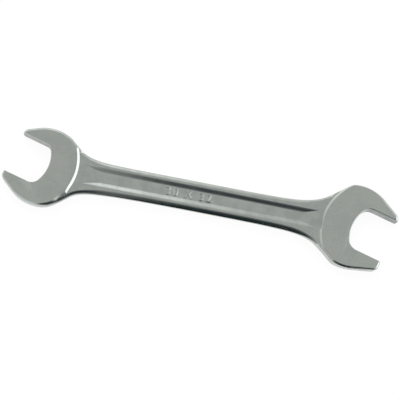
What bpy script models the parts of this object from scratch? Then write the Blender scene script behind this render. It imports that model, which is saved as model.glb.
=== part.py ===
"""A double open end wrench, 30 mm by 32 mm, drop forged in one bar and chrome plated.

The wrench lies flat on its two ground heads. X runs along the shank from the small head to the
large head, Z is up, and the origin is under the middle of the whole tool, in the plane it rests on.
The forging is held as three regions, small_jaw_head, shank and large_jaw_head, which meet face to
face in the shallow necks on either side of its waist. Lengths are in metres.
"""

from math import atan2, cos, pi, radians, sin, sqrt

import bmesh
import bpy
from mathutils import Matrix, Vector
from mathutils.geometry import interpolate_bezier

# Driving dimensions
SMALL_SIZE = 0.030
LARGE_SIZE = 0.032
JAW_CLEARANCE = 0.0003
JAW_ANGLE = radians(15)
HEAD_SPACING = 0.2236
HEAD_THICKNESS = 0.0105
FACE_RISE = 0.0010
WAIST_WIDTH = 0.0214
SPLIT_DISTANCE = 0.050

# The small head, measured from its centre, which lies on the shank's centre line. The jaw leans
# away from its wide side, where the neck runs out to the head in a longer sweep. A side's neck is a
# curve from the waist to the shoulder: waist_handle is where its first handle ends along the shank,
# and neck_handle is how far the second one runs back from the shoulder.
SMALL_HEAD = {
    "size": SMALL_SIZE,
    "radius": 0.0282,
    "tip_reach": 0.0237,
    "tip_radius": 0.0045,
    "shoulder_radius": 0.0081,
    "edge_radius": 0.0015,
    "gap_shift": -0.0002,
    "throat_shift": 0.0007,
    "throat_depth": 0.0029,
    "throat_radius": 0.0244,
    "wide_fillet": 0.0070,
    "tight_fillet": 0.0049,
    "heel_reach": 0.0222,
    "heel_radius": 0.0373,
    "heel_lean": radians(-5.4),
    "heel_run": 0.0018,
    "wide_side": {
        "taper": radians(27),
        "shoulder_start": radians(104.2),
        "shoulder_turn": radians(14.3),
        "neck_handle": 0.0269,
        "waist_handle": -0.0054,
    },
    "tight_side": {
        "taper": radians(33),
        "shoulder_start": radians(123.2),
        "shoulder_turn": radians(9),
        "neck_handle": 0.0207,
        "waist_handle": -0.0285,
    },
}

# The large head, measured in the same way
LARGE_HEAD = {
    "size": LARGE_SIZE,
    "radius": 0.0305,
    "tip_reach": 0.0276,
    "tip_radius": 0.0042,
    "shoulder_radius": 0.0075,
    "edge_radius": 0.0018,
    "gap_shift": 0.0009,
    "throat_shift": 0.0,
    "throat_depth": 0.0012,
    "throat_radius": 0.0260,
    "wide_fillet": 0.0075,
    "tight_fillet": 0.0074,
    "heel_reach": 0.0225,
    "heel_radius": 0.0388,
    "heel_lean": radians(-6),
    "heel_run": 0.0016,
    "wide_side": {
        "taper": radians(26.8),
        "shoulder_start": radians(94.5),
        "shoulder_turn": radians(31),
        "neck_handle": 0.0310,
        "waist_handle": -0.0221,
    },
    "tight_side": {
        "taper": radians(20.4),
        "shoulder_start": radians(109),
        "shoulder_turn": radians(21.4),
        "neck_handle": 0.0259,
        "waist_handle": -0.0280,
    },
}

# The section of the shank and the necks. The recess gap and ramp run along the shank.
BAR_EDGE_RADIUS = 0.0020
RECESS_WIDTH = 0.0132
RECESS_WALL = 0.0019
RECESS_DEPTH = 0.0012
RECESS_HEEL_GAP = 0.0027
RECESS_RAMP = 0.0060

# How far a head's walls stand out past the bar that runs on inside it
HEAD_LAND = 0.00005

# How far a cutter runs past what it cuts
OVERRUN = 0.0040

# How finely round shapes are divided
ARC_STEP = radians(5)
FLARE_POINTS = 24
EDGE_SEGMENTS = 4
WALL_STEPS = 4

# Angles between two faces: nearly flat, part of an outline, and the rim of a plate
FLAT_ANGLE = radians(0.5)
SHARP_ANGLE = radians(35)
RIM_ANGLE = radians(60)

# Points closer than this are one point
WELD_DISTANCE = 0.00001

BAR_THICKNESS = HEAD_THICKNESS - 2 * FACE_RISE
MIDDLE_HEIGHT = HEAD_THICKNESS / 2
BAR_RISE = BAR_THICKNESS / 2
LOWER_FACE = Matrix.Translation((0, 0, HEAD_THICKNESS)) @ Matrix.Scale(-1, 4, (0, 0, 1))
CHROME = {"colour": (0.60, 0.62, 0.60, 1.0), "metallic": 1.0, "roughness": 0.24}


def clear_scene():
    for item in list(bpy.data.objects):
        bpy.data.objects.remove(item, do_unlink=True)


def new_collection(name, hidden=False):
    collection = bpy.data.collections.new(name)
    bpy.context.scene.collection.children.link(collection)
    collection.hide_render = hidden
    return collection


def chrome_material(name):
    material = bpy.data.materials.new(name)
    material.use_nodes = True
    shader = material.node_tree.nodes["Principled BSDF"]
    shader.inputs["Base Color"].default_value = CHROME["colour"]
    shader.inputs["Metallic"].default_value = CHROME["metallic"]
    shader.inputs["Roughness"].default_value = CHROME["roughness"]
    return material


def arc(centre, radius, start, end):
    """Points on an arc, both ends included, from one angle to another."""
    steps = max(2, round(abs(end - start) / ARC_STEP))
    angles = [start + (end - start) * step / steps for step in range(steps + 1)]
    return [Vector((centre[0] + radius * cos(a), centre[1] + radius * sin(a))) for a in angles]


def towards(angle):
    return Vector((cos(angle), sin(angle)))


def moved(points, centre, turn):
    """Outline points turned about the origin and then carried to a centre."""
    rotation = Matrix.Rotation(turn, 2)
    return [rotation @ point + centre for point in points]


def half_outline(head, side_name, lean, waist_distance):
    """One side of the bar, from its waist out to a jaw's tip, about the head's centre."""
    side = head[side_name]
    radius, rounding, tip_radius = head["radius"], head["shoulder_radius"], head["tip_radius"]
    start, end = side["shoulder_start"], side["shoulder_start"] + side["shoulder_turn"]
    shoulder = towards(start) * (radius - rounding)
    neck_end = shoulder + towards(end) * rounding
    neck_handle = neck_end + towards(end + pi / 2) * side["neck_handle"]
    waist = Vector((-waist_distance, WAIST_WIDTH / 2))
    waist_handle = Vector((side["waist_handle"], WAIST_WIDTH / 2))
    neck = interpolate_bezier(waist, waist_handle, neck_handle, neck_end, FLARE_POINTS)
    slope = pi / 2 - side["taper"]
    tip_along = head["tip_reach"] - tip_radius
    tip_across = (radius - tip_radius - tip_along * cos(slope)) / sin(slope)
    tip = moved(arc((tip_along, tip_across), tip_radius, slope, 0), Vector((0, 0)), lean)
    shoulder_arc = arc(shoulder, rounding, end, start)
    head_arc = arc((0, 0), radius, start, slope + lean)
    return [Vector(point) for point in neck] + shoulder_arc[1:] + head_arc[1:] + tip


def mirrored(points):
    return [Vector((point.x, -point.y)) for point in points]


def bar_outline(small_centre, large_centre):
    """The outline of the whole forging before its throats are cut, anticlockwise."""
    small, large = Vector((small_centre, 0)), Vector((large_centre, 0))
    small_wide = half_outline(SMALL_HEAD, "wide_side", -JAW_ANGLE, -small_centre)
    small_tight = half_outline(SMALL_HEAD, "tight_side", JAW_ANGLE, -small_centre)
    large_wide = half_outline(LARGE_HEAD, "wide_side", -JAW_ANGLE, large_centre)
    large_tight = half_outline(LARGE_HEAD, "tight_side", JAW_ANGLE, large_centre)
    small_low = moved(small_wide, small, pi)
    small_high = moved(mirrored(small_tight), small, pi)
    large_low = moved(mirrored(large_tight), large, 0)
    large_high = moved(large_wide, large, 0)
    return small_low[::-1] + large_low[1:] + large_high[::-1] + small_high[1:]


def drawn_in(outline, distance):
    """An outline that runs anticlockwise, moved inwards by a small distance."""
    inner = []
    for before, here, after in zip(outline[-1:] + outline[:-1], outline, outline[1:] + outline[:1]):
        first, second = (here - before).normalized(), (after - here).normalized()
        normal = Vector((-first.y - second.y, first.x + second.x)).normalized()
        inner.append(here + normal * distance / normal.dot(Vector((-first.y, first.x))))
    return inner


def throat_outline(head):
    """The jaw gap: two parallel flats that run out past the tips, and a round throat."""
    half_gap = (head["size"] + JAW_CLEARANCE) / 2
    radius = head["throat_radius"]
    centre = radius - head["throat_depth"]
    mouth = head["tip_reach"] + OVERRUN
    outline = []
    for side, fillet in ((1, head["wide_fillet"]), (-1, head["tight_fillet"])):
        flat = half_gap + side * (head["gap_shift"] - head["throat_shift"])
        across = flat - fillet
        back = sqrt((radius - fillet) ** 2 - across**2)
        tangent = atan2(across, -back)
        rounded = arc((centre - back, across), fillet, pi / 2, tangent)
        bottom = arc((centre, 0), radius, tangent, pi)[1:]
        half = [Vector((mouth, flat))] + rounded + bottom
        half = [Vector((point.x, side * point.y + head["throat_shift"])) for point in half]
        outline += half if side == 1 else half[-2::-1]
    return outline


def weld(mesh):
    """Closes the seams that a curve's caps leave, and joins its flat triangles."""
    shape = bmesh.new()
    shape.from_mesh(mesh)
    bmesh.ops.remove_doubles(shape, verts=shape.verts, dist=WELD_DISTANCE)
    bmesh.ops.dissolve_limit(shape, angle_limit=FLAT_ANGLE, verts=shape.verts, edges=shape.edges)
    bmesh.ops.recalc_face_normals(shape, faces=shape.faces)
    shape.to_mesh(mesh)
    shape.free()


def plate(name, outline, thickness, collection):
    """A flat plate of an outline, centred on the forging's middle plane."""
    drawing = bpy.data.curves.new(name, "CURVE")
    drawing.dimensions = "2D"
    drawing.fill_mode = "BOTH"
    drawing.extrude = thickness / 2
    spline = drawing.splines.new("POLY")
    spline.points.add(len(outline) - 1)
    for point, place in zip(spline.points, outline):
        point.co = (place.x, place.y, 0, 1)
    spline.use_cyclic_u = True
    guide = bpy.data.objects.new(name + "_outline", drawing)
    guide.location.z = MIDDLE_HEIGHT
    collection.objects.link(guide)
    bpy.context.view_layer.update()
    evaluated = guide.evaluated_get(bpy.context.evaluated_depsgraph_get())
    mesh = bpy.data.meshes.new_from_object(evaluated)
    weld(mesh)
    solid = bpy.data.objects.new(name, mesh)
    solid.matrix_world = guide.matrix_world.copy()
    collection.objects.link(solid)
    bpy.data.objects.remove(guide, do_unlink=True)
    return solid


def round_rim(solid, radius):
    """Rounds the rim of both faces of a plate, and leaves its upright lines alone."""
    bevel = solid.modifiers.new("rounded_rim", "BEVEL")
    bevel.width = radius
    bevel.segments = EDGE_SEGMENTS
    bevel.limit_method = "ANGLE"
    bevel.angle_limit = RIM_ANGLE


def combine(solid, other, operation):
    boolean = solid.modifiers.new(other.name, "BOOLEAN")
    boolean.operation = operation
    boolean.object = other


def as_cutter(solid):
    solid.hide_render = True
    solid.display_type = "WIRE"
    return solid


def box(name, low, high, collection):
    """A box between two corners."""
    shape = bmesh.new()
    bmesh.ops.create_cube(shape, size=1)
    low, high = Vector(low), Vector(high)
    bmesh.ops.scale(shape, vec=high - low, verts=shape.verts)
    bmesh.ops.translate(shape, vec=(low + high) / 2, verts=shape.verts)
    mesh = bpy.data.meshes.new(name)
    shape.to_mesh(mesh)
    shape.free()
    solid = bpy.data.objects.new(name, mesh)
    collection.objects.link(solid)
    return solid


def heel_drum(name, head, place, ahead, cutters):
    """A round block: what it shares of a raised head ends in a sloping heel on both faces."""
    radius, run = head["heel_radius"], head["heel_run"]
    across = towards(head["heel_lean"]) * radius - Vector((head["heel_reach"], 0))
    centre = moved([across], place, ahead)[0]
    low, high = -FACE_RISE, HEAD_THICKNESS + FACE_RISE
    wall_low, wall_high = 2 * FACE_RISE, HEAD_THICKNESS - 2 * FACE_RISE
    narrow, wide = radius - run, radius + 2 * run
    corners = ((0, low), (narrow, low), (wide, wall_low), (wide, wall_high), (narrow, high), (0, high))
    shape = bmesh.new()
    points = [shape.verts.new((out, 0, height)) for out, height in corners]
    edges = [shape.edges.new(pair) for pair in zip(points, points[1:])]
    steps = round(2 * pi / ARC_STEP)
    bmesh.ops.spin(shape, geom=points + edges, axis=(0, 0, 1), cent=(0, 0, 0), angle=2 * pi, steps=steps)
    bmesh.ops.remove_doubles(shape, verts=shape.verts, dist=WELD_DISTANCE)
    bmesh.ops.recalc_face_normals(shape, faces=shape.faces)
    bmesh.ops.translate(shape, vec=(centre.x, centre.y, 0), verts=shape.verts)
    mesh = bpy.data.meshes.new(name)
    shape.to_mesh(mesh)
    shape.free()
    solid = bpy.data.objects.new(name, mesh)
    cutters.objects.link(solid)
    return as_cutter(solid)


def recess_cutter(name, start, end, face, collection):
    """The long recess of one face, with sloping walls and ends that run out in a ramp."""
    across = RECESS_WIDTH / 2
    rib = MIDDLE_HEIGHT + BAR_RISE
    solid = box(name, (start, -across, rib), (end, across, rib + OVERRUN), collection)
    centre = Vector(((start + end) / 2, 0, 0))
    shape = bmesh.new()
    shape.from_mesh(solid.data)
    shape.faces.ensure_lookup_table()
    floor = min(shape.faces, key=lambda side: side.calc_center_median().z)
    past = {"depth": 0, "length": end - start, "width": RECESS_WIDTH}
    for step in range(1, WALL_STEPS + 1):
        share = step / WALL_STEPS
        now = {
            "depth": RECESS_DEPTH * (1 - cos(pi * share)) / 2,
            "length": end - start - 2 * RECESS_RAMP * share,
            "width": RECESS_WIDTH - 2 * RECESS_WALL * share,
        }
        grown = bmesh.ops.extrude_face_region(shape, geom=[floor])["geom"]
        bmesh.ops.delete(shape, geom=[floor], context="FACES_ONLY")
        floor = next(item for item in grown if isinstance(item, bmesh.types.BMFace))
        ratio = Vector((now["length"] / past["length"], now["width"] / past["width"], 1))
        down = Vector((0, 0, past["depth"] - now["depth"]))
        bmesh.ops.scale(shape, vec=ratio, verts=floor.verts, space=Matrix.Translation(-centre))
        bmesh.ops.translate(shape, vec=down, verts=floor.verts)
        past = now
    if face < 0:
        bmesh.ops.transform(shape, matrix=LOWER_FACE, verts=shape.verts)
    bmesh.ops.recalc_face_normals(shape, faces=shape.faces)
    shape.to_mesh(solid.data)
    shape.free()
    return as_cutter(solid)


def beyond(name, plane, side, cutters):
    """A block that takes away all of the forging on one side of a plane across the shank."""
    far = plane + side * 2 * HEAD_SPACING
    reach = LARGE_HEAD["radius"] + OVERRUN
    low = (min(plane, far), -reach, -OVERRUN)
    high = (max(plane, far), reach, HEAD_THICKNESS + OVERRUN)
    return as_cutter(box(name, low, high, cutters))


def settle(solid, material, parent):
    """Applies the modifiers, gives the solid its finish and shades its round faces smooth."""
    bpy.context.view_layer.update()
    evaluated = solid.evaluated_get(bpy.context.evaluated_depsgraph_get())
    mesh = bpy.data.meshes.new_from_object(evaluated)
    solid.modifiers.clear()
    solid.data = mesh
    mesh.materials.clear()
    mesh.materials.append(material)
    mesh.shade_smooth()
    mesh.set_sharp_from_angle(angle=SHARP_ANGLE)
    solid.parent = parent


def bar(name, outline, collection):
    """The whole forging at the thickness of its shank, with rounded rims."""
    solid = plate(name, outline, BAR_THICKNESS, collection)
    round_rim(solid, BAR_EDGE_RADIUS)
    return solid


def jaw_head(name, head, centre, side, outline, parts, cutters):
    """One head with its jaws and its neck, up to the plane where it meets the shank."""
    place = Vector((centre, 0))
    ahead = 0 if side > 0 else pi
    solid = plate(name, outline, HEAD_THICKNESS, parts)
    round_rim(solid, head["edge_radius"])
    combine(solid, heel_drum(name + "_heel", head, place, ahead, cutters), "INTERSECT")
    inner = bar(name + "_bar", drawn_in(outline, HEAD_LAND), cutters)
    combine(solid, as_cutter(inner), "UNION")
    depth = HEAD_THICKNESS + 2 * OVERRUN
    gap = moved(throat_outline(head), place, ahead - JAW_ANGLE)
    combine(solid, as_cutter(plate(name + "_throat", gap, depth, cutters)), "DIFFERENCE")
    split = centre - side * SPLIT_DISTANCE
    combine(solid, beyond(name + "_split", split, -side, cutters), "DIFFERENCE")
    return solid


def plain_shank(name, outline, start, end, parts, cutters):
    """The bar between the two planes where the necks start."""
    solid = bar(name, drawn_in(outline, HEAD_LAND), parts)
    combine(solid, beyond(name + "_small_end", start, -1, cutters), "DIFFERENCE")
    combine(solid, beyond(name + "_large_end", end, 1, cutters), "DIFFERENCE")
    return solid


def main():
    clear_scene()
    parts = new_collection("open_end_wrench")
    cutters = new_collection("cutters", hidden=True)
    whole = bpy.data.objects.new("wrench_origin", None)
    parts.objects.link(whole)

    # The first outline is drawn only to find how far off the middle the two heads lie
    trial = [point.x for point in bar_outline(-HEAD_SPACING / 2, HEAD_SPACING / 2)]
    offset = -(min(trial) + max(trial)) / 2
    small_centre = offset - HEAD_SPACING / 2
    large_centre = offset + HEAD_SPACING / 2
    outline = bar_outline(small_centre, large_centre)
    start = small_centre + SPLIT_DISTANCE
    end = large_centre - SPLIT_DISTANCE

    solids = [
        jaw_head("small_jaw_head", SMALL_HEAD, small_centre, -1, outline, parts, cutters),
        plain_shank("shank", outline, start, end, parts, cutters),
        jaw_head("large_jaw_head", LARGE_HEAD, large_centre, 1, outline, parts, cutters),
    ]
    recess_start = small_centre + SMALL_HEAD["heel_reach"] + RECESS_HEEL_GAP
    recess_end = large_centre - LARGE_HEAD["heel_reach"] - RECESS_HEEL_GAP
    recesses = [
        recess_cutter("upper_recess", recess_start, recess_end, 1, cutters),
        recess_cutter("lower_recess", recess_start, recess_end, -1, cutters),
    ]
    for solid in solids:
        for recess in recesses:
            combine(solid, recess, "DIFFERENCE")
        settle(solid, chrome_material(solid.name + "_chrome"), whole)


main()
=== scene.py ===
from math import atan2, cos, degrees, pi, radians, sin, sqrt, tan

import bmesh
import bpy
from mathutils import Matrix, Vector
from mathutils.geometry import interpolate_bezier


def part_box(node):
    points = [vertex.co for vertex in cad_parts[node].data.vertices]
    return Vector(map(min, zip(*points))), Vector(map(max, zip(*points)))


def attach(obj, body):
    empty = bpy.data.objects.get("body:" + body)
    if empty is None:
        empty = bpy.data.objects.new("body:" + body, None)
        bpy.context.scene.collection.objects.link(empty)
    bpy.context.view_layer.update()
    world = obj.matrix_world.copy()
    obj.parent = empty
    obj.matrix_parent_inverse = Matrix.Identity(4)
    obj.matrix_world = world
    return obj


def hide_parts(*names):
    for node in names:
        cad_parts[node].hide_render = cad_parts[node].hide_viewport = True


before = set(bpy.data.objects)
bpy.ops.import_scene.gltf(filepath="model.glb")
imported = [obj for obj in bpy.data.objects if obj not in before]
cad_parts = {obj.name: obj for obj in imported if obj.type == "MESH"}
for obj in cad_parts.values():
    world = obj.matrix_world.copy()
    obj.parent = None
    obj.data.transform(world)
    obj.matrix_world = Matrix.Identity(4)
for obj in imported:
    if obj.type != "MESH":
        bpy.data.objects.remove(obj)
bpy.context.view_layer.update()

# Open end wrench, chrome plated forging. Lengths are in metres.

mm = 0.001
root = "root"

shankLow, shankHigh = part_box("shank")
smallLow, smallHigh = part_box("small_jaw_head")
largeLow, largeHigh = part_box("large_jaw_head")

forging = {
    "splitDistance": 50 * mm,       # from a head's centre to where the shank's region starts
    "jawAngle": radians(15),
    "jawClearance": 0.3 * mm,
    "faceHeight": largeHigh.z,      # top of the head faces
    "barTop": shankHigh.z,          # top of the shank's ribs
    "waistWidth": 22.1 * mm,
    "land": 0.05 * mm,              # how far the head's walls stand out past the bar inside it
    "draft": radians(1),            # the side walls lean in by this towards both faces
    "rimSteps": 8,
    "rimDepth": 0.9,                # a wide rounding goes no further down than this share
    "arcStep": radians(2.5),
    "neckPoints": 56,
    "mitreLimit": 0.4,              # keeps the offset short at sharp corners
    "sliver": 0.0005 * mm,          # edges shorter than this are closed up
    "shankRim": 3.8 * mm,           # rounding along the shank, nearly full round
    "rimStart": 46 * mm,            # distances from a head's centre between which it
    "rimEnd": 24 * mm,              # narrows to the neckRim of that head
}

smallHead = {
    "piece": "smallJawHeadForging",
    "node": "small_jaw_head",
    "centre": shankLow.x - forging["splitDistance"],
    "side": -1,                     # which way the jaws point along X
    "size": 30 * mm,                # hexagon across its flats
    "radius": (smallHigh.y - smallLow.y) / 2,
    "tipReach": 23.7 * mm,          # from the head's centre, along the jaws
    "tipRadius": 4.5 * mm,
    "shoulderRadius": 8.1 * mm,     # between the round head and the neck
    "neckRim": 2.8 * mm,
    "rims": (                       # (degrees from the shank's direction, rounding in mm)
        (-180, 1.5), (-88, 1.5), (-70, 2.8), (-48, 6.0),
        (0, 6.0), (40, 2.8), (110, 2.4), (180, 1.5),
    ),
    "gapShift": -0.2 * mm,          # how far the two flats lie off the head's centre
    "throatShift": 0.7 * mm,        # the same for the round bottom of the gap
    "throatDepth": 2.9 * mm,        # how far the bottom lies behind the head's centre
    "throatRadius": 24.4 * mm,
    "fillets": {1: 7.0 * mm, -1: 4.9 * mm},
    "throatEdge": 0.35 * mm,        # rounding where the jaw gap meets the faces
    "heelReach": 22.2 * mm,         # from the head's centre back to the raised heel
    "heelRadius": 37.3 * mm,
    "heelLean": radians(-5.4),
    "heelStraight": radians(-21),   # past this angle the heel runs on straight
    "heelRun": 1.8 * mm,            # width of the heel's slope
    "sides": {                      # angles in degrees; the handles shape the neck's curve
        1: {
            "taper": 27, "shoulder": 104.2, "turn": 14.3,
            "neckHandle": 26.9 * mm, "waistHandle": -5.4 * mm,
        },
        -1: {
            "taper": 33, "shoulder": 123.2, "turn": 9,
            "neckHandle": 20.7 * mm, "waistHandle": -28.5 * mm,
        },
    },
}

largeHead = {
    "piece": "largeJawHeadForging",
    "node": "large_jaw_head",
    "centre": shankHigh.x + forging["splitDistance"],
    "side": 1,
    "size": 32 * mm,
    "radius": (largeHigh.y - largeLow.y) / 2,
    "tipReach": 27.6 * mm,
    "tipRadius": 4.2 * mm,
    "shoulderRadius": 7.5 * mm,
    "neckRim": 2.0 * mm,
    "rims": ((-180, 2.2), (-140, 1.8), (0, 1.6), (100, 1.6), (140, 2.2), (180, 2.2)),
    "gapShift": 0.9 * mm,
    "throatShift": 0,
    "throatDepth": 1.2 * mm,
    "throatRadius": 26 * mm,
    "fillets": {1: 7.5 * mm, -1: 7.4 * mm},
    "throatEdge": 0.6 * mm,
    "heelReach": 22.5 * mm,
    "heelRadius": 38.8 * mm,
    "heelLean": radians(-6),
    "heelStraight": radians(-60),
    "heelRun": 1.6 * mm,
    "sides": {
        1: {
            "taper": 26.8, "shoulder": 94.5, "turn": 31,
            "neckHandle": 31 * mm, "waistHandle": -22.1 * mm,
        },
        -1: {
            "taper": 20.4, "shoulder": 109, "turn": 21.4,
            "neckHandle": 25.9 * mm, "waistHandle": -28 * mm,
        },
    },
}

headForm = {
    "throatEdgeSteps": 5,
    "throatFlare": 1.8,             # the gap's cutter ends this many roundings further out
    "drumStep": radians(2),
    "straightTurn": radians(35),    # how much of the heel may run straight
}

# The heel's profile, as shares of its run outwards and of its rise downwards from the face
heelShares = (
    (-0.30, -0.06), (-0.12, 0.02), (0.0, 0.09), (0.08, 0.19),
    (0.72, 0.82), (0.88, 0.93), (1.05, 0.985), (1.30, 1.03), (1.9, 1.5), (3.6, 3.4),
)

recess = {
    "middleOfWall": {-1: 5.4 * mm, 1: 4.9 * mm},    # distance from the centre line at each end
    "wall": 4.4 * mm,               # width of the sloping wall
    "depth": 1.7 * mm,
    "heelGap": {-1: 2.0 * mm, 1: 0.6 * mm},
    "ramp": {-1: 18 * mm, 1: 16 * mm},
    "corner": 1.2 * mm,
    "cornerSteps": 5,
    "steps": 14,
}

overrun = 4 * mm                    # how far a cutter runs past what it cuts
middle = forging["faceHeight"] / 2  # the forging is the same above and below this height


def towards(angle):
    return Vector((cos(angle), sin(angle)))


def arcPoints(centre, radius, start, end):
    count = max(2, round(abs(end - start) / forging["arcStep"]))
    angles = [start + (end - start) * k / count for k in range(count + 1)]
    return [Vector(centre) + towards(a) * radius for a in angles]


def turned(points, centre, angle):
    rotation = Matrix.Rotation(angle, 2)
    return [rotation @ p + Vector(centre) for p in points]


def mirrored(points):
    return [Vector((p.x, -p.y)) for p in points]


def halfOutline(head, side):
    # from the waist along the neck, round the shoulder and the head, and down to the jaw's tip
    shape = head["sides"][side]
    radius, rounding, tipRadius = head["radius"], head["shoulderRadius"], head["tipRadius"]
    start = radians(shape["shoulder"])
    end = start + radians(shape["turn"])
    shoulder = towards(start) * (radius - rounding)
    neckEnd = shoulder + towards(end) * rounding
    neckHandle = neckEnd + towards(end + pi / 2) * shape["neckHandle"]
    edge = forging["waistWidth"] / 2
    waist = Vector((-abs(head["centre"]), edge))
    waistHandle = Vector((shape["waistHandle"], edge))
    neck = interpolate_bezier(waist, waistHandle, neckHandle, neckEnd, forging["neckPoints"])
    slope = pi / 2 - radians(shape["taper"])
    tipX = head["tipReach"] - tipRadius
    tipY = (radius - tipRadius - tipX * cos(slope)) / sin(slope)
    lean = -side * forging["jawAngle"]
    tip = turned(arcPoints((tipX, tipY), tipRadius, slope, 0), (0, 0), lean)
    shoulderArc = arcPoints(shoulder, rounding, end, start)
    headArc = arcPoints((0, 0), radius, start, slope + lean)
    return [Vector(p) for p in neck] + shoulderArc[1:] + headArc[1:] + tip


def barOutline():
    # the whole forging before its jaw gaps are cut, anticlockwise
    small, large = (smallHead["centre"], 0), (largeHead["centre"], 0)
    smallLower = turned(halfOutline(smallHead, 1), small, pi)
    smallUpper = turned(mirrored(halfOutline(smallHead, -1)), small, pi)
    largeLower = turned(mirrored(halfOutline(largeHead, -1)), large, 0)
    largeUpper = turned(halfOutline(largeHead, 1), large, 0)
    return smallLower[::-1] + largeLower[1:] + largeUpper[::-1] + smallUpper[1:]


def throatOutline(head):
    # two parallel flats, running out past the tips, and a round bottom with two unlike fillets
    halfGap = (head["size"] + forging["jawClearance"]) / 2
    radius = head["throatRadius"]
    centre = radius - head["throatDepth"]
    mouth = head["tipReach"] + overrun
    outline = []
    for side, fillet in head["fillets"].items():
        flat = halfGap + side * (head["gapShift"] - head["throatShift"])
        across = flat - fillet
        back = sqrt((radius - fillet) ** 2 - across**2)
        tangent = atan2(across, -back)
        half = [Vector((mouth, flat))]
        half += arcPoints((centre - back, across), fillet, pi / 2, tangent)
        half += arcPoints((centre, 0), radius, tangent, pi)[1:]
        half = [Vector((p.x, side * p.y + head["throatShift"])) for p in half]
        outline += half if side == 1 else half[-2::-1]
    return outline


def anticlockwise(points):
    area = sum(p.x * q.y - q.x * p.y for p, q in zip(points, points[1:] + points[:1]))
    return points if area > 0 else points[::-1]


def outwardNormals(points):
    # one mitred normal for each point of a closed outline that runs anticlockwise
    normals = []
    for before, here, after in zip(points[-1:] + points[:-1], points, points[1:] + points[:1]):
        first, second = (here - before).normalized(), (after - here).normalized()
        normal = (Vector((first.y, -first.x)) + Vector((second.y, -second.x))).normalized()
        spread = max(forging["mitreLimit"], normal.dot(Vector((first.y, -first.x))))
        normals.append(normal / spread)
    return normals


def smoothStep(low, high, value):
    share = min(1, max(0, (value - low) / (high - low)))
    return share * share * (3 - 2 * share)


def rimProfile(height, radius):
    # (height above the middle, how far out) from the widest line up to the top face
    draft = tan(forging["draft"])
    down = min(radius, forging["rimDepth"] * height)
    below = height - down
    profile = [(0, 0), (below, -draft * below)]
    for step in range(1, forging["rimSteps"] + 1):
        angle = pi / 2 * step / forging["rimSteps"]
        profile.append((below + down * sin(angle), -draft * below - radius * (1 - cos(angle))))
    return profile


def bothFaces(profile):
    return [(-height, out) for height, out in reversed(profile[1:])] + profile


def newPiece(name, mesh):
    piece = bpy.data.objects.new(name, mesh)
    bpy.context.scene.collection.objects.link(piece)
    return piece


def loft(name, rings):
    # a closed solid through rings of equally many points, from the lowest to the highest
    shape = bmesh.new()
    rows = [[shape.verts.new(point) for point in ring] for ring in rings]
    count = len(rows[0])
    for lower, upper in zip(rows, rows[1:]):
        for k in range(count):
            after = (k + 1) % count
            shape.faces.new((lower[k], lower[after], upper[after], upper[k]))
    shape.faces.new(rows[0][::-1])
    shape.faces.new(rows[-1])
    bmesh.ops.recalc_face_normals(shape, faces=shape.faces)
    mesh = bpy.data.meshes.new(name)
    shape.to_mesh(mesh)
    shape.free()
    return newPiece(name, mesh)


def outlineSolid(name, outline, profiles):
    # one profile for each point of the outline, all with equally many points
    normals = outwardNormals(outline)
    rings = []
    for k in range(len(profiles[0])):
        ring = []
        for point, normal, profile in zip(outline, normals, profiles):
            height, out = profile[k]
            ring.append((point.x + normal.x * out, point.y + normal.y * out, middle + height))
        rings.append(ring)
    return loft(name, rings)


def finalMesh(piece):
    # what the piece's modifiers or its curve make of it
    bpy.context.view_layer.update()
    evaluated = piece.evaluated_get(bpy.context.evaluated_depsgraph_get())
    return bpy.data.meshes.new_from_object(evaluated)


def combine(piece, other, operation):
    boolean = piece.modifiers.new(other.name, "BOOLEAN")
    boolean.operation = operation
    boolean.object = other
    mesh = finalMesh(piece)
    piece.modifiers.clear()
    piece.data = mesh
    bpy.data.objects.remove(other, do_unlink=True)


def box(name, low, high):
    corners = [(low[0], low[1]), (high[0], low[1]), (high[0], high[1]), (low[0], high[1])]
    return loft(name, [[(x, y, z) for x, y in corners] for z in (low[2], high[2])])


wholeOutline = barOutline()


def barRim(x):
    # the shank is nearly full round at its edges, and the necks are squarer towards the heads
    head = smallHead if x < 0 else largeHead
    share = smoothStep(-forging["rimStart"], -forging["rimEnd"], -abs(x - head["centre"]))
    return forging["shankRim"] + (head["neckRim"] - forging["shankRim"]) * share


def barSolid(name):
    # the whole forging at the thickness of its shank
    profiles = []
    for point in wholeOutline:
        profile = bothFaces(rimProfile(forging["barTop"] - middle, barRim(point.x)))
        profiles.append([(height, out - forging["land"]) for height, out in profile])
    return outlineSolid(name, wholeOutline, profiles)


def headRim(head, point):
    # "rims" gives the rounding by the angle about the head's centre, 0 towards the shank
    toShank = point - Vector((head["centre"], 0))
    angle = degrees(atan2(toShank.y, -head["side"] * toShank.x))
    for (start, first), (end, second) in zip(head["rims"], head["rims"][1:]):
        if angle <= end:
            return (first + (second - first) * smoothStep(start, end, angle)) * mm
    return head["rims"][-1][1] * mm


def plateSolid(name, head):
    # the whole forging at the thickness of its heads
    profiles = [bothFaces(rimProfile(middle, headRim(head, point))) for point in wholeOutline]
    return outlineSolid(name, wholeOutline, profiles)


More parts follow.
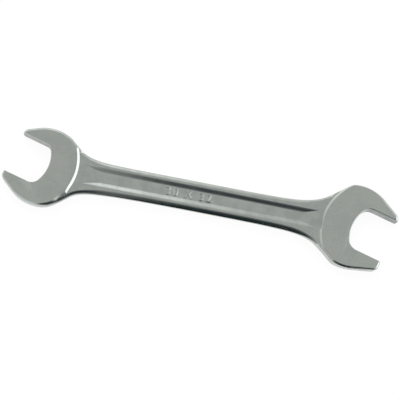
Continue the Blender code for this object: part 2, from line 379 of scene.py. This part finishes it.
def heelDrum(head, ahead):
    # what this round block shares with the plate is the raised head with its heel
    rise = forging["faceHeight"] - forging["barTop"]
    radius, run = head["heelRadius"], head["heelRun"]
    across = towards(head["heelLean"]) * radius - Vector((head["heelReach"], 0))
    centre = turned([across], (head["centre"], 0), ahead)[0]
    upper = [(radius + out * run, middle - down * rise) for out, down in heelShares]
    profile = [(out, -height) for out, height in upper] + upper[::-1]
    count = round(2 * pi / headForm["drumStep"])
    rays = []
    for k in range(count):
        angle = 2 * pi * k / count
        fromShank = (angle if head["side"] < 0 else pi - angle) + pi
        past = head["heelStraight"] - (fromShank % (2 * pi) - pi)
        rays.append(towards(angle) / cos(min(max(past, 0), headForm["straightTurn"])))
    rings = []
    for out, height in profile:
        level = middle + height
        rings.append([(centre.x + ray.x * out, centre.y + ray.y * out, level) for ray in rays])
    return loft("heelDrum", rings)


def throatCutter(head, angle):
    # the jaw gap, flared where it meets the two faces so that their edges come out rounded
    edge, steps = head["throatEdge"], headForm["throatEdgeSteps"]
    profile = [(0, 0)]
    for step in range(steps):
        turn = pi / 2 * (step + 0.5) / steps
        profile.append((middle - edge + edge * sin(turn), edge * (1 - cos(turn))))
    profile.append((middle + edge, edge * headForm["throatFlare"]))
    outline = anticlockwise(turned(throatOutline(head), (head["centre"], 0), angle))
    return outlineSolid("throatCutter", outline, [bothFaces(profile)] * len(outline))


def recessOutline(start, end, inward):
    # a long quadrangle with round corners
    corners = []
    for x, y in ((end, 1), (start, 1), (start, -1), (end, -1)):
        across = recess["middleOfWall"][1 if x == end else -1] + recess["wall"] / 2 - inward
        corners.append((x, y * across))
    points = []
    corner, steps = recess["corner"], recess["cornerSteps"]
    for quarter, (x, y) in enumerate(corners):
        inX = x - corner if x == end else x + corner
        inY = y - corner if y > 0 else y + corner
        for k in range(steps + 1):
            points.append(Vector((inX, inY)) + towards(pi / 2 * (quarter + k / steps)) * corner)
    return points


def recessCutter(face):
    # the long hollow of one face: an S shaped wall, and ends that run out in a ramp
    start = smallHead["centre"] + smallHead["heelReach"] + recess["heelGap"][-1]
    end = largeHead["centre"] - largeHead["heelReach"] - recess["heelGap"][1]
    top = forging["barTop"] - middle
    rings = []
    for step in range(recess["steps"], -1, -1):
        share = step / recess["steps"]
        height = top - recess["depth"] * (1 - cos(pi * share)) / 2
        low, high = start + recess["ramp"][-1] * share, end - recess["ramp"][1] * share
        outline = recessOutline(low, high, recess["wall"] * share)
        rings.append([(p.x, p.y, middle + face * height) for p in outline])
    outline = recessOutline(start, end, 0)
    rings.append([(p.x, p.y, middle + face * (top + overrun)) for p in outline])
    return loft("recessCutter", rings if face > 0 else rings[::-1])


def cutBeyond(piece, plane, side):
    # takes away all of the forging on one side of a plane across the shank
    far = plane + side * (largeHigh.x - smallLow.x)
    reach = largeHead["radius"] + overrun
    low = (min(plane, far), -reach, -overrun)
    high = (max(plane, far), reach, forging["faceHeight"] + overrun)
    combine(piece, box("beyond", low, high), "DIFFERENCE")


def clearSlivers(piece):
    # the cuts leave a few faces that have no area
    shape = bmesh.new()
    shape.from_mesh(piece.data)
    bmesh.ops.remove_doubles(shape, verts=shape.verts, dist=forging["sliver"])
    bmesh.ops.dissolve_degenerate(shape, edges=shape.edges, dist=forging["sliver"])
    shape.to_mesh(piece.data)
    shape.free()


def makeHead(head):
    print("head", head["piece"])
    ahead = 0 if head["side"] > 0 else pi
    piece = plateSolid(head["piece"], head)
    combine(piece, heelDrum(head, ahead), "INTERSECT")
    combine(piece, barSolid("bar"), "UNION")
    combine(piece, throatCutter(head, ahead - forging["jawAngle"]), "DIFFERENCE")
    for face in (1, -1):
        combine(piece, recessCutter(face), "DIFFERENCE")
    cutBeyond(piece, head["centre"] - head["side"] * forging["splitDistance"], -head["side"])
    clearSlivers(piece)
    return piece


def makeShank():
    print("shank")
    piece = barSolid("shankForging")
    for face in (1, -1):
        combine(piece, recessCutter(face), "DIFFERENCE")
    cutBeyond(piece, shankLow.x, -1)
    cutBeyond(piece, shankHigh.x, 1)
    return piece


# Raised size numbers on the floor of the recess

numerals = {
    "words": "30 X 32",
    "place": (-27 * mm, -2.7 * mm),
    "height": 8.0 * mm,
    "rise": 0.9 * mm,
    "sunk": 0.6 * mm,               # how far they reach down into the metal
    "bolder": 0.22 * mm,
    "edge": 0.42 * mm,              # rounding along the top of each stroke
    "edgeSteps": 2,
    "curveSteps": 8,
    "spacing": 1.30,
    "weld": 0.004 * mm,
}


def makeNumerals():
    print("numerals")
    drawing = bpy.data.curves.new("sizeNumerals", "FONT")
    drawing.body = numerals["words"]
    drawing.size = numerals["height"]
    drawing.space_character = numerals["spacing"]
    drawing.offset = numerals["bolder"] - numerals["edge"]
    drawing.extrude = (numerals["rise"] + numerals["sunk"]) / 2 - numerals["edge"]
    drawing.bevel_depth = numerals["edge"]
    drawing.bevel_resolution = numerals["edgeSteps"]
    drawing.resolution_u = numerals["curveSteps"]
    guide = bpy.data.objects.new("numeralGuide", drawing)
    bpy.context.scene.collection.objects.link(guide)
    mesh = finalMesh(guide)
    bpy.data.objects.remove(guide, do_unlink=True)
    floorHeight = forging["barTop"] - recess["depth"]
    lift = floorHeight + (numerals["rise"] - numerals["sunk"]) / 2
    mesh.transform(Matrix.Translation((numerals["place"][0], numerals["place"][1], lift)))
    shape = bmesh.new()
    shape.from_mesh(mesh)
    bmesh.ops.remove_doubles(shape, verts=shape.verts, dist=numerals["weld"])
    bmesh.ops.recalc_face_normals(shape, faces=shape.faces)
    shape.to_mesh(mesh)
    shape.free()
    return newPiece("sizeNumerals", mesh)


# Materials: chrome plate over ground faces, over the forged skin and over the broached jaws,
# whose darker colour is partly painted shade

chrome = {
    "groundFaceChrome": {
        "bright": (0.480, 0.508, 0.470, 1),
        "dull": (0.410, 0.444, 0.419, 1),
        "mark": (0.62, 0.64, 0.61, 1),
        "roughness": (0.20, 0.34),
        "grainAngle": radians(20),
        "grainSize": 0.35 * mm,
        "grainLength": 9,
        "grainHeight": 0.5,
        "cloudSize": 14 * mm,
        "waveHeight": 0.25,
        "marks": 0.5,
    },
    "forgedChrome": {
        "bright": (0.474, 0.505, 0.474, 1),
        "dull": (0.408, 0.440, 0.414, 1),
        "mark": (0.62, 0.64, 0.62, 1),
        "roughness": (0.13, 0.24),
        "grainAngle": 0,
        "grainSize": 0.5 * mm,
        "grainLength": 14,
        "grainHeight": 0.35,
        "cloudSize": 9 * mm,
        "waveHeight": 0.5,
        "marks": 0.35,
    },
    # the jaw chrome is darker partly for the broached steel's own tone and partly as painted
    # shade, for the shadowed floor in the jaw gap that the flats mirror
    "broachedJawChromeWithPaintedShade": {
        "bright": (0.260, 0.282, 0.272, 1),
        "dull": (0.200, 0.220, 0.212, 1),
        "mark": (0.50, 0.52, 0.50, 1),
        "roughness": (0.22, 0.38),
        "grainAngle": radians(-15),
        "grainSize": 0.3 * mm,
        "grainLength": 1.0,
        "grainHeight": 0.6,
        "cloudSize": 5 * mm,
        "waveHeight": 0.2,
        "marks": 0.6,
    },
}


# The noise of each effect. Pairs of values are where it starts and where it is full
grainNoise = {
    "detail": 3,
    "roughness": 0.6,
    "finer": 3.0,                   # the fine grain's scale against the grain's
    "fineDetail": 2,
    "fineRoughness": 0.5,
}
cloudNoise = {
    "detail": 4,
    "roughness": 0.62,
    "cover": (0.32, 0.68),
    "slower": 0.6,                  # the waves' scale against the clouds'
    "waveDetail": 2,
    "waveRoughness": 0.4,
}
markNoise = {
    "directions": ({"turn": 0.5, "scale": 1.6}, {"turn": -0.9, "scale": 2.3}),
    "stretch": (60, 1560, 400),
    "detail": 1,
    "line": (0.70, 0.76),
    "sparseScale": 55,
    "sparseDetail": 2,
    "sparse": (0.5, 0.62),
    "edge": (0.53, 0.62),           # how pointed an edge is before it is worn
    "rubbedScale": 160,
    "rubbedDetail": 3,
    "rubbed": (0.35, 0.65),
}
chromeMix = {
    "clouds": 0.55,                 # shares of clouds and grain in the tone
    "grain": 0.45,
    "tone": (0.2, 0.8),
    "fine": 0.3,
    "rough": (0.3, 1.0),
    "waveDistance": 0.08 * mm,
    "grainDistance": 0.004 * mm,
}


def newTree(owner):
    owner.use_nodes = True
    owner.node_tree.nodes.clear()
    return owner.node_tree.nodes, owner.node_tree.links


def setSocket(links, socket, value):
    # a plain number or colour is set, and anything else is a socket to link from
    if isinstance(value, (int, float, tuple)):
        socket.default_value = value
    else:
        links.new(value, socket)


def mathNode(nodes, links, operation, first, second):
    node = nodes.new("ShaderNodeMath")
    node.operation = operation
    for socket, value in zip(node.inputs, (first, second)):
        setSocket(links, socket, value)
    return node.outputs[0]


def rampNode(nodes, links, value, low, high, kind="SMOOTHSTEP"):
    node = nodes.new("ShaderNodeMapRange")
    node.interpolation_type = kind
    links.new(value, node.inputs["Value"])
    node.inputs["From Min"].default_value = low
    node.inputs["From Max"].default_value = high
    return node.outputs[0]


def newGroup(name, inputs, outputs):
    group = bpy.data.node_groups.new(name, "ShaderNodeTree")
    for label, value in inputs.items():
        socket = group.interface.new_socket(label, in_out="INPUT", socket_type="NodeSocketFloat")
        socket.default_value = value
    for label in outputs:
        group.interface.new_socket(label, in_out="OUTPUT", socket_type="NodeSocketFloat")
    nodes, links = group.nodes, group.links
    return group, nodes, links, nodes.new("NodeGroupInput"), nodes.new("NodeGroupOutput")


def noiseNode(nodes, links, place, scale, detail, roughness=0.5):
    node = nodes.new("ShaderNodeTexNoise")
    links.new(place, node.inputs["Vector"])
    setSocket(links, node.inputs["Scale"], scale)
    node.inputs["Detail"].default_value = detail
    node.inputs["Roughness"].default_value = roughness
    return node.outputs["Fac"]


def makeGrain():
    # polishing grain: fine noise drawn out along one direction of the faces
    look = grainNoise
    inputs = {"Angle": 0, "Size": 0.4 * mm, "Length": 8}
    group, nodes, links, given, out = newGroup("polishingGrain", inputs, ("Grain", "Fine"))
    place = nodes.new("ShaderNodeTexCoord")
    turn = nodes.new("ShaderNodeVectorRotate")
    turn.rotation_type = "Z_AXIS"
    links.new(place.outputs["Object"], turn.inputs["Vector"])
    links.new(given.outputs["Angle"], turn.inputs["Angle"])
    parts = nodes.new("ShaderNodeSeparateXYZ")
    links.new(turn.outputs[0], parts.inputs[0])
    along = mathNode(nodes, links, "DIVIDE", parts.outputs["X"], given.outputs["Length"])
    joined = nodes.new("ShaderNodeCombineXYZ")
    links.new(along, joined.inputs["X"])
    links.new(parts.outputs["Y"], joined.inputs["Y"])
    links.new(parts.outputs["Z"], joined.inputs["Z"])
    scale = mathNode(nodes, links, "DIVIDE", 1.0, given.outputs["Size"])
    grain = noiseNode(nodes, links, joined.outputs[0], scale, look["detail"], look["roughness"])
    links.new(grain, out.inputs["Grain"])
    scale = mathNode(nodes, links, "MULTIPLY", scale, look["finer"])
    detail, roughness = look["fineDetail"], look["fineRoughness"]
    fine = noiseNode(nodes, links, joined.outputs[0], scale, detail, roughness)
    links.new(fine, out.inputs["Fine"])
    return group


def makeClouds():
    # uneven plating: soft clouds, and the slow waves of a surface polished by hand
    look = cloudNoise
    outputs = ("Clouds", "Waves")
    group, nodes, links, given, out = newGroup("platingClouds", {"Size": 10 * mm}, outputs)
    place = nodes.new("ShaderNodeTexCoord").outputs["Object"]
    scale = mathNode(nodes, links, "DIVIDE", 1.0, given.outputs["Size"])
    clouds = noiseNode(nodes, links, place, scale, look["detail"], look["roughness"])
    links.new(rampNode(nodes, links, clouds, *look["cover"]), out.inputs["Clouds"])
    scale = mathNode(nodes, links, "MULTIPLY", scale, look["slower"])
    waves = noiseNode(nodes, links, place, scale, look["waveDetail"], look["waveRoughness"])
    links.new(waves, out.inputs["Waves"])
    return group


def makeMarks():
    # handling marks: sparse short scratches in two directions, and wear on the outer edges
    look = markNoise
    outputs = ("Marks", "Wear")
    group, nodes, links, given, out = newGroup("handlingMarks", {"Amount": 0.5}, outputs)
    place = nodes.new("ShaderNodeTexCoord").outputs["Object"]
    amount = given.outputs["Amount"]
    marks = 0
    for direction in look["directions"]:
        mapping = nodes.new("ShaderNodeMapping")
        mapping.inputs["Rotation"].default_value = (0, 0, direction["turn"])
        mapping.inputs["Scale"].default_value = look["stretch"]
        links.new(place, mapping.inputs["Vector"])
        lines = noiseNode(nodes, links, mapping.outputs[0], direction["scale"], look["detail"])
        lines = rampNode(nodes, links, lines, *look["line"])
        marks = mathNode(nodes, links, "MAXIMUM", marks, lines)
    sparse = noiseNode(nodes, links, place, look["sparseScale"], look["sparseDetail"])
    sparse = rampNode(nodes, links, sparse, *look["sparse"])
    marks = mathNode(nodes, links, "MULTIPLY", marks, sparse)
    links.new(mathNode(nodes, links, "MULTIPLY", marks, amount), out.inputs["Marks"])
    shape = nodes.new("ShaderNodeNewGeometry")
    edge = rampNode(nodes, links, shape.outputs["Pointiness"], *look["edge"])
    rubbed = noiseNode(nodes, links, place, look["rubbedScale"], look["rubbedDetail"])
    rubbed = rampNode(nodes, links, rubbed, *look["rubbed"])
    wear = mathNode(nodes, links, "MULTIPLY", edge, rubbed)
    links.new(mathNode(nodes, links, "MULTIPLY", wear, amount), out.inputs["Wear"])
    return group


grainGroup, cloudGroup, markGroup = makeGrain(), makeClouds(), makeMarks()


def useGroup(nodes, group, values):
    node = nodes.new("ShaderNodeGroup")
    node.node_tree = group
    for label, value in values.items():
        node.inputs[label].default_value = value
    return node


def colourMix(nodes, links, mask, first, second):
    node = nodes.new("ShaderNodeMix")
    node.data_type = "RGBA"
    links.new(mask, node.inputs["Factor"])
    for label, value in (("A", first), ("B", second)):
        socket = [i for i in node.inputs if i.name == label and i.type == "RGBA"][0]
        setSocket(links, socket, value)
    return [o for o in node.outputs if o.type == "RGBA"][0]


def bumpNode(nodes, links, height, strength, distance, before=None):
    node = nodes.new("ShaderNodeBump")
    node.inputs["Strength"].default_value = strength
    node.inputs["Distance"].default_value = distance
    links.new(height, node.inputs["Height"])
    if before:
        links.new(before, node.inputs["Normal"])
    return node.outputs[0]


def chromeMaterial(name):
    print("material", name)
    look = chrome[name]
    material = bpy.data.materials.new(name)
    material.use_nodes = True
    nodes, links = material.node_tree.nodes, material.node_tree.links
    shader = nodes["Principled BSDF"]
    shader.inputs["Metallic"].default_value = 1
    grain = useGroup(nodes, grainGroup, {
        "Angle": look["grainAngle"], "Size": look["grainSize"], "Length": look["grainLength"]})
    clouds = useGroup(nodes, cloudGroup, {"Size": look["cloudSize"]})
    marks = useGroup(nodes, markGroup, {"Amount": look["marks"]})
    cloudTone = mathNode(nodes, links, "MULTIPLY", clouds.outputs["Clouds"], chromeMix["clouds"])
    grainTone = mathNode(nodes, links, "MULTIPLY", grain.outputs["Grain"], chromeMix["grain"])
    tone = mathNode(nodes, links, "ADD", cloudTone, grainTone)
    share = rampNode(nodes, links, tone, *chromeMix["tone"])
    colour = colourMix(nodes, links, share, look["dull"], look["bright"])
    worn = mathNode(nodes, links, "MAXIMUM", marks.outputs["Marks"], marks.outputs["Wear"])
    links.new(colourMix(nodes, links, worn, colour, look["mark"]), shader.inputs["Base Color"])
    fine = mathNode(nodes, links, "MULTIPLY", grain.outputs["Fine"], chromeMix["fine"])
    rough = nodes.new("ShaderNodeMapRange")
    links.new(mathNode(nodes, links, "ADD", tone, fine), rough.inputs["Value"])
    ends = chromeMix["rough"] + look["roughness"][::-1]
    for label, value in zip(("From Min", "From Max", "To Min", "To Max"), ends):
        rough.inputs[label].default_value = value
    links.new(rough.outputs[0], shader.inputs["Roughness"])
    height, distance = look["waveHeight"], chromeMix["waveDistance"]
    waves = bumpNode(nodes, links, clouds.outputs["Waves"], height, distance)
    height, distance = look["grainHeight"], chromeMix["grainDistance"]
    normal = bumpNode(nodes, links, grain.outputs["Grain"], height, distance, waves)
    links.new(normal, shader.inputs["Normal"])
    return material


faceMetal = chromeMaterial("groundFaceChrome")
forgedMetal = chromeMaterial("forgedChrome")
jawMetalWithPaintedShade = chromeMaterial("broachedJawChromeWithPaintedShade")
metals = (forgedMetal, faceMetal, jawMetalWithPaintedShade)

shading = {
    "sharpAngle": radians(32),
    "weight": 100,
    "nearly": 0.01 * mm,            # how near to its plane a face of the head still belongs to it
    "faceSlope": 0.99,              # least upward share of a ground face's normal
    "wallSlope": 0.5,               # most upward share of a jaw wall's normal
}


def polishedShading(piece):
    piece.data.shade_smooth()
    piece.data.set_sharp_from_angle(angle=shading["sharpAngle"])
    weighted = piece.modifiers.new("weighted", "WEIGHTED_NORMAL")
    weighted.keep_sharp = True
    weighted.weight = shading["weight"]


def paintRegions(piece, head=None):
    # forged all over, ground on the two faces of a head, broached and darkened with painted shade
    # inside its jaws
    piece.data.materials.clear()
    for metal in metals:
        piece.data.materials.append(metal)
    if head is None:
        return
    nearly = shading["nearly"]
    ahead = 0 if head["side"] > 0 else pi
    axis = towards(ahead - forging["jawAngle"])
    halfGap = (head["size"] + forging["jawClearance"]) / 2
    for face in piece.data.polygons:
        centre = Vector(face.center[:])
        flat = centre.xy - Vector((head["centre"], 0))
        along, across = flat.dot(axis), flat.dot(Vector((-axis.y, axis.x))) - head["gapShift"]
        onFace = centre.z > forging["faceHeight"] - nearly or centre.z < nearly
        inGap = abs(across) < halfGap + nearly and along > -head["throatDepth"] - nearly
        if onFace and abs(face.normal.z) > shading["faceSlope"]:
            face.material_index = metals.index(faceMetal)
        # the jaw walls get the chrome darkened with painted shade
        elif inGap and abs(face.normal.z) < shading["wallSlope"]:
            face.material_index = metals.index(jawMetalWithPaintedShade)


def finish(piece, node=None):
    polishedShading(piece)
    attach(piece, root)
    if node:
        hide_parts(node)


for head in (smallHead, largeHead):
    headPiece = makeHead(head)
    paintRegions(headPiece, head)
    finish(headPiece, head["node"])
shankPiece = makeShank()
paintRegions(shankPiece)
finish(shankPiece, "shank")
numeralPiece = makeNumerals()
numeralPiece.data.materials.append(forgedMetal)
finish(numeralPiece)

# Camera. The focal length is in pixels of an image as wide as "imagePixels"

cameraSet = {
    "azimuth": radians(-14.255),
    "elevation": radians(76.59),
    "roll": radians(24.863),
    "distance": 784.4 * mm,
    "target": (-1.79 * mm, -2.92 * mm, 10.49 * mm),
    "focalPixels": 1111.3,
    "imagePixels": 400,
    "sensor": 36,
    "clipStart": 10 * mm,
    "clipEnd": 100,
}


def makeCamera():
    print("camera")
    az, el, roll = cameraSet["azimuth"], cameraSet["elevation"], cameraSet["roll"]
    back = Vector((sin(az) * cos(el), -cos(az) * cos(el), sin(el)))
    right = Vector((cos(az), sin(az), 0))
    up = back.cross(right)
    turnedRight = right * cos(roll) + up * sin(roll)
    turnedUp = up * cos(roll) - right * sin(roll)
    data = bpy.data.cameras.new("camera")
    data.sensor_width = cameraSet["sensor"]
    data.lens = cameraSet["sensor"] * cameraSet["focalPixels"] / cameraSet["imagePixels"]
    data.clip_start = cameraSet["clipStart"]
    data.clip_end = cameraSet["clipEnd"]
    camera = bpy.data.objects.new("camera", data)
    bpy.context.scene.collection.objects.link(camera)
    matrix = Matrix((turnedRight, turnedUp, back)).transposed().to_4x4()
    matrix.translation = Vector(cameraSet["target"]) + back * cameraSet["distance"]
    camera.matrix_world = matrix
    bpy.context.scene.camera = camera


makeCamera()

# Floor, world, studio cards and lamp

stageSet = {
    "floorColour": (0.93, 0.93, 0.93, 1),
    "floorSize": 6,
    "floorThickness": 10 * mm,
    "floorDrop": 0.02 * mm,         # keeps the floor just clear of the wrench
    "floorGlow": 0.93,              # how much of the floor's white is plain, without shadow
}


def makeFloor():
    print("floor")
    half = stageSet["floorSize"] / 2
    low = (-half, -half, -stageSet["floorThickness"])
    floor = box("floor", low, (half, half, -stageSet["floorDrop"]))
    material = bpy.data.materials.new("paleFloor")
    nodes, links = newTree(material)
    out = nodes.new("ShaderNodeOutputMaterial")
    diffuse = nodes.new("ShaderNodeBsdfDiffuse")
    diffuse.inputs["Color"].default_value = stageSet["floorColour"]
    glow = nodes.new("ShaderNodeEmission")
    path = nodes.new("ShaderNodeLightPath")
    seen = path.outputs["Is Camera Ray"]
    for ray in ("Is Glossy Ray", "Is Transmission Ray"):
        seen = mathNode(nodes, links, "MAXIMUM", seen, path.outputs[ray])
    share = mathNode(nodes, links, "MULTIPLY", seen, stageSet["floorGlow"])
    mix = nodes.new("ShaderNodeMixShader")
    links.new(share, mix.inputs[0])
    links.new(diffuse.outputs[0], mix.inputs[1])
    links.new(glow.outputs[0], mix.inputs[2])
    links.new(mix.outputs[0], out.inputs[0])
    floor.data.materials.append(material)


# What the metal mirrors, in degrees: azimuth from -Y towards +X, elevation, and how far from
# there the level holds and has faded out. A level of 1 is white
skyBase = 0.82
skyLobes = (
    {"azimuth": -36, "elevation": 4, "inner": 16, "outer": 50, "level": 1.16},
    {"azimuth": 100, "elevation": 30, "inner": 24, "outer": 38, "level": 2.4},
    {"azimuth": 160, "elevation": 76, "inner": 20, "outer": 42, "level": 0.65},
    {"azimuth": -90, "elevation": 18, "inner": 24, "outer": 50, "level": 0.9},
)


def lobeMask(nodes, links, direction, lobe):
    azimuth, elevation = radians(lobe["azimuth"]), radians(lobe["elevation"])
    aim = nodes.new("ShaderNodeVectorMath")
    aim.operation = "DOT_PRODUCT"
    links.new(direction, aim.inputs[0])
    flat = towards(azimuth - pi / 2) * cos(elevation)
    aim.inputs[1].default_value = (flat.x, flat.y, sin(elevation))
    near, far = cos(radians(lobe["inner"])), cos(radians(lobe["outer"]))
    return rampNode(nodes, links, aim.outputs["Value"], far, near)


def levelMix(nodes, links, mask, level, other):
    mix = nodes.new("ShaderNodeMix")
    links.new(mask, mix.inputs["Factor"])
    setSocket(links, mix.inputs["A"], level)
    mix.inputs["B"].default_value = other
    return mix.outputs["Result"]


def makeWorld():
    print("world")
    world = bpy.data.worlds.new("studio")
    bpy.context.scene.world = world
    nodes, links = newTree(world)
    out = nodes.new("ShaderNodeOutputWorld")
    background = nodes.new("ShaderNodeBackground")
    background.inputs["Color"].default_value = (1, 1, 1, 1)
    direction = nodes.new("ShaderNodeTexCoord").outputs["Generated"]
    seen = nodes.new("ShaderNodeLightPath").outputs["Is Camera Ray"]
    level = skyBase
    for lobe in skyLobes:
        mask = lobeMask(nodes, links, direction, lobe)
        level = levelMix(nodes, links, mask, level, lobe["level"])
    level = levelMix(nodes, links, seen, level, 1)      # the camera itself sees plain white
    links.new(level, background.inputs["Strength"])
    links.new(background.outputs[0], out.inputs[0])


# Studio cards: only the metal mirrors them. Each fades out between pairs of places, in metres
cards = {
    "darkFrontCard": {
        "colour": (0.55, 0.85, 1, 1),
        "level": 0.04,
        "corners": ((-0.3, -0.4, 0), (0.6, -0.4, 0), (0.6, -0.4, 2.5), (-0.3, -0.4, 2.5)),
        "fades": (("X", -0.22, 0.0), ("X", 0.54, 0.36), ("Z", 2.2, 0.3)),
    },
    "brightBackCard": {
        "colour": (1, 1, 1, 1),
        "level": 1.42,
        "corners": ((-1.2, 0.4, 0), (0.2, 0.4, 0), (0.2, 0.4, 0.6), (-1.2, 0.4, 0.6)),
        "fades": (("X", 0.13, -0.11), ("X", -1.2, -0.9), ("Z", 0.52, 0.12)),
    },
}

# Dark sheets that lie on the floor in front of the wrench: a painted shadow of the wrench on the
# floor, which only the metal mirrors.
# Each grows from clear to dark over its "fade", starting at the place "clear"
paintedFloorShadow = {
    "foot": 4.5 * mm,               # distance from the wrench's edge
    "height": 0.02 * mm,
    "front": -0.4,
    "runs": (
        {"from": -0.120, "to": 0.084, "clear": -0.17, "fade": 0.14},
        {"from": 0.088, "to": 0.134, "clear": 0.088, "fade": 0.014},
    ),
    "endFade": 0.014,
    "step": 2 * mm,
    "colour": (0.55, 0.85, 1, 1),
    "level": 0.03,
}


def cardMaterial(name, card, fades):
    material = bpy.data.materials.new(name)
    nodes, links = newTree(material)
    out = nodes.new("ShaderNodeOutputMaterial")
    paint = nodes.new("ShaderNodeEmission")
    paint.inputs["Color"].default_value = card["colour"]
    paint.inputs["Strength"].default_value = card["level"]
    clear = nodes.new("ShaderNodeBsdfTransparent")
    place = nodes.new("ShaderNodeTexCoord")
    parts = nodes.new("ShaderNodeSeparateXYZ")
    links.new(place.outputs["Object"], parts.inputs[0])
    cover = 1.0
    for axis, start, end in fades:
        kind = "LINEAR" if axis == "Z" else "SMOOTHSTEP"
        fade = rampNode(nodes, links, parts.outputs[axis], start, end, kind)
        cover = mathNode(nodes, links, "MULTIPLY", cover, fade)
    mix = nodes.new("ShaderNodeMixShader")
    links.new(cover, mix.inputs[0])
    links.new(clear.outputs[0], mix.inputs[1])
    links.new(paint.outputs[0], mix.inputs[2])
    links.new(mix.outputs[0], out.inputs[0])
    return material


def placeCard(name, quads, card, fades):
    shape = bmesh.new()
    for quad in quads:
        shape.faces.new([shape.verts.new(corner) for corner in quad])
    mesh = bpy.data.meshes.new(name)
    shape.to_mesh(mesh)
    shape.free()
    mesh.materials.append(cardMaterial(name, card, fades))
    piece = newPiece(name, mesh)
    piece.visible_camera = False
    piece.visible_diffuse = False
    piece.visible_shadow = False
    piece.visible_transmission = False


def nearEdge(x):
    # how far the outline reaches towards -Y at this X
    reach = []
    for p, q in zip(wholeOutline, wholeOutline[1:] + wholeOutline[:1]):
        if min(p.x, q.x) <= x <= max(p.x, q.x) and p.x != q.x:
            reach.append(p.y + (q.y - p.y) * (x - p.x) / (q.x - p.x))
    return min(reach)


def makeCards():
    print("cards")
    for name, card in cards.items():
        placeCard(name, [card["corners"]], card, card["fades"])
    # then the dark sheets of painted shadow on the floor in front of the wrench
    for number, run in enumerate(paintedFloorShadow["runs"], 1):
        start, end, clear = run["from"], run["to"], run["clear"]
        count = round((end - start) / paintedFloorShadow["step"])
        places = [start + (end - start) * k / count for k in range(count + 1)]
        edge = [(x, nearEdge(x) - paintedFloorShadow["foot"], paintedFloorShadow["height"]) for x in places]
        front = [(x, paintedFloorShadow["front"], paintedFloorShadow["height"]) for x in places]
        quads = [(edge[k], front[k], front[k + 1], edge[k + 1]) for k in range(count)]
        fades = (("X", clear, clear + run["fade"]), ("X", end, end - paintedFloorShadow["endFade"]))
        placeCard("paintedShadowSheet%d" % number, quads, paintedFloorShadow, fades)


# A soft lamp for the floor's shadow, which the metal doesn't mirror. It aims at the origin
backKey = {"place": (-0.5, 0.9, 1.1), "size": 1.0, "watts": 14}


def makeLamp():
    print("lamp")
    data = bpy.data.lights.new("backKey", "AREA")
    data.shape = "SQUARE"
    data.size = backKey["size"]
    data.energy = backKey["watts"]
    lamp = bpy.data.objects.new("backKey", data)
    bpy.context.scene.collection.objects.link(lamp)
    place = Vector(backKey["place"])
    lamp.location = place
    lamp.rotation_euler = (-place).to_track_quat("-Z", "Y").to_euler()
    lamp.visible_glossy = False
    lamp.visible_camera = False


makeFloor()
makeWorld()
makeCards()
makeLamp()
bpy.context.scene.view_settings.view_transform = "Standard"
